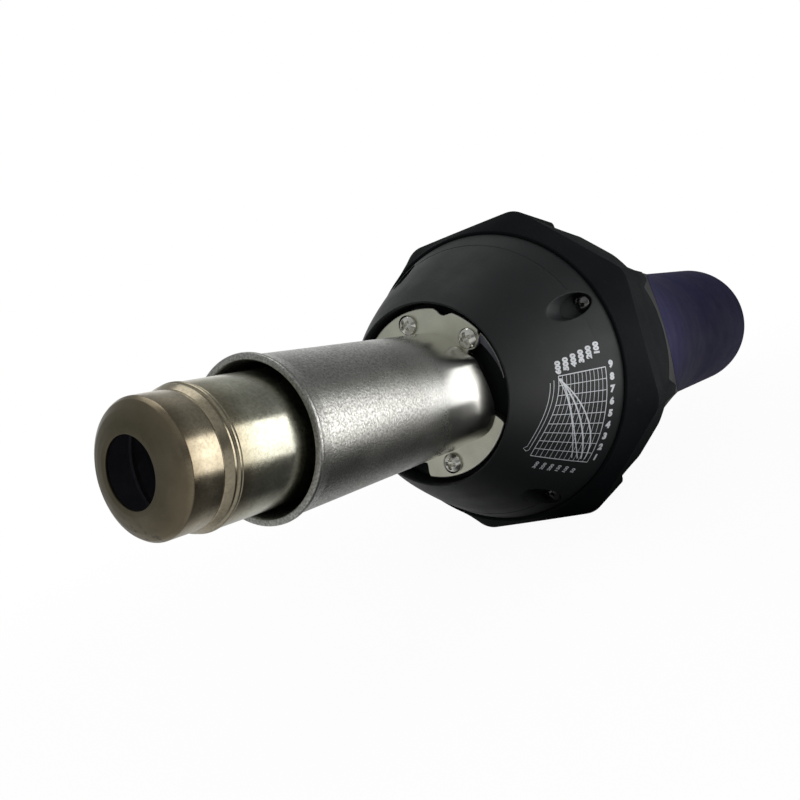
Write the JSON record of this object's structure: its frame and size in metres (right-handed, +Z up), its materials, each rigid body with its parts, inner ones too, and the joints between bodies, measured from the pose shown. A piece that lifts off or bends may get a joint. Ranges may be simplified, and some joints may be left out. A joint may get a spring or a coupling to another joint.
{
  "type": "hot air plastic welder",
  "caption": "Handheld hot air plastic welder: steel heating tube in a protective sleeve, domed blower hood, faceted rubber stand, flared barrel handle with switch, dial and air slide.",
  "frame": {"origin": "bottom centre of the bounding box, in the plane that the tool rests on", "axes": "+X horizontal towards the mouth of the heating tube, +Z up, +Y to the left of someone who holds the handle and looks towards the mouth; the tool's own axis rises 5.89 degrees towards the mouth"},
  "size_m": [0.3488, 0.098, 0.0974],
  "materials": {
    "heated_steel": "heat-tinted beige-gold satin",
    "satin_steel": "bead-blasted satin",
    "bright_steel": "polished",
    "mica": "matte layered sheet",
    "ceramic": "unglazed",
    "heating_alloy": "oxidised dark grey",
    "brass": "satin",
    "copper": "enamelled copper",
    "black_plastic": "charcoal black, fine grain with a soft sheen",
    "black_rubber": "matte, slightly bluish black",
    "indigo_plastic": "dark indigo, fine grain",
    "grey_plastic": "moulded grey",
    "carbon": "sintered dark grey",
    "board": "green solder mask",
    "aluminium": "satin",
    "foam": "open-cell filter foam"
  },
  "bodies": {
    "tool": {"front_hood": "black_plastic", "rear_housing": "black_plastic", "handle_shell": "indigo_plastic", "rubber_stand": "black_rubber", "heating_tube": "heated_steel", "protective_tube": "satin_steel", "flange_screw_1": "bright_steel", "flange_screw_2": "bright_steel", "flange_screw_3": "bright_steel", "flange_screw_4": "bright_steel", "insulating_ring": "mica", "element_core": "ceramic", "heating_wire": "heating_alloy", "mica_tube": "mica", "contact_plate": "ceramic", "plug_pin_1": "brass", "plug_pin_2": "brass", "plug_pin_3": "brass", "contact_socket": "grey_plastic", "hood_screw_1": "bright_steel", "hood_screw_2": "bright_steel", "hood_screw_3": "bright_steel", "hood_screw_4": "bright_steel", "air_guide": "grey_plastic", "switch_body": "black_plastic", "motor_can": "satin_steel", "motor_ring": "black_rubber", "magnet_1": "carbon", "magnet_2": "carbon", "bearing_front": "bright_steel", "end_shield": "grey_plastic", "bearing_rear": "bright_steel", "brush_holder_1": "brass", "brush_holder_2": "brass", "carbon_brush_1": "carbon", "carbon_brush_2": "carbon", "brush_spring_1": "bright_steel", "brush_spring_2": "bright_steel", "control_board": "board", "heat_sink": "aluminium", "potentiometer": "grey_plastic", "rear_cap": "black_plastic", "cap_screw_1": "bright_steel", "cap_screw_2": "bright_steel", "cord_gland": "black_rubber", "dust_filter": "foam"},
    "rotor": {"impeller": "grey_plastic", "impeller_nut": "brass", "motor_shaft": "bright_steel", "armature_core": "satin_steel", "armature_winding": "copper", "commutator": "copper"},
    "rocker": {"switch_rocker": "black_plastic"},
    "dial": {"temperature_dial": "black_plastic", "pot_shaft": "brass"},
    "slide": {"air_slide": "black_plastic"}
  },
  "joints": [
    {"name": "rotor_spin", "type": "hinge", "parent": "tool", "child": "rotor", "pos_m": [-0.02526, 0, 0.04307], "axis": [0.9947, 0, 0.1026], "continuous": true},
    {"name": "switch_rocker_tilt", "type": "hinge", "parent": "tool", "child": "rocker", "pos_m": [-0.07235, 0, 0.07114], "axis": [0, 1, 0], "range_deg": [-14, 0]},
    {"name": "temperature_dial_turn", "type": "hinge", "parent": "tool", "child": "dial", "pos_m": [-0.12473, -0.0282, 0.0328], "axis": [0, -1, 0], "range_deg": [0, 270]},
    {"name": "air_slide_turn", "type": "hinge", "parent": "tool", "child": "slide", "pos_m": [-0.1679, 0, 0.02835], "axis": [-0.9947, 0, -0.1026], "range_deg": [0, 18]}
  ]
}
